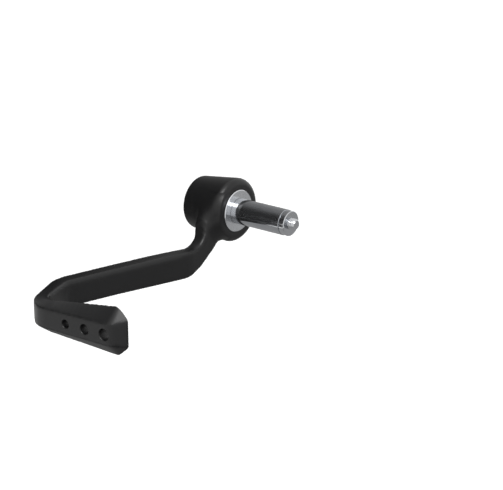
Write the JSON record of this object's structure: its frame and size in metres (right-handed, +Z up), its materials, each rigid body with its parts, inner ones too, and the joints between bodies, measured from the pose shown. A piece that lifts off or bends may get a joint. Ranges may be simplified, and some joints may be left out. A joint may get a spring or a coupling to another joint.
{
  "type": "brake lever guard",
  "caption": "Bar-end brake lever guard: a cranked black arm with a drilled, bevelled blade on a tapered barrel, held by an expanding split-sleeve stem.",
  "frame": {"origin": "centre of the spacer disc's inner face, on the handlebar's axis, where the end of the bar tube butts", "axes": "+X inboard along the bar, the way the stem points; +Y back to the rider; +Z up, so the arm reaches forward along -Y"},
  "size_m": [0.071, 0.1482, 0.0514],
  "materials": {
    "moulded_nylon": "satin black, fine moulded grain",
    "turned_steel": "turned, plain",
    "turned_aluminium": "turned and polished",
    "polished_sleeve": "polished",
    "zinc_plated_steel": "bright zinc plated"
  },
  "bodies": {
    "root": {"guard_moulding": "moulded_nylon", "bar_end_weight": "turned_steel", "spacer_disc": "turned_aluminium", "expander_sleeve": "polished_sleeve", "taper_nut": "turned_aluminium", "clamp_bolt": "zinc_plated_steel"}
  },
  "joints": []
}
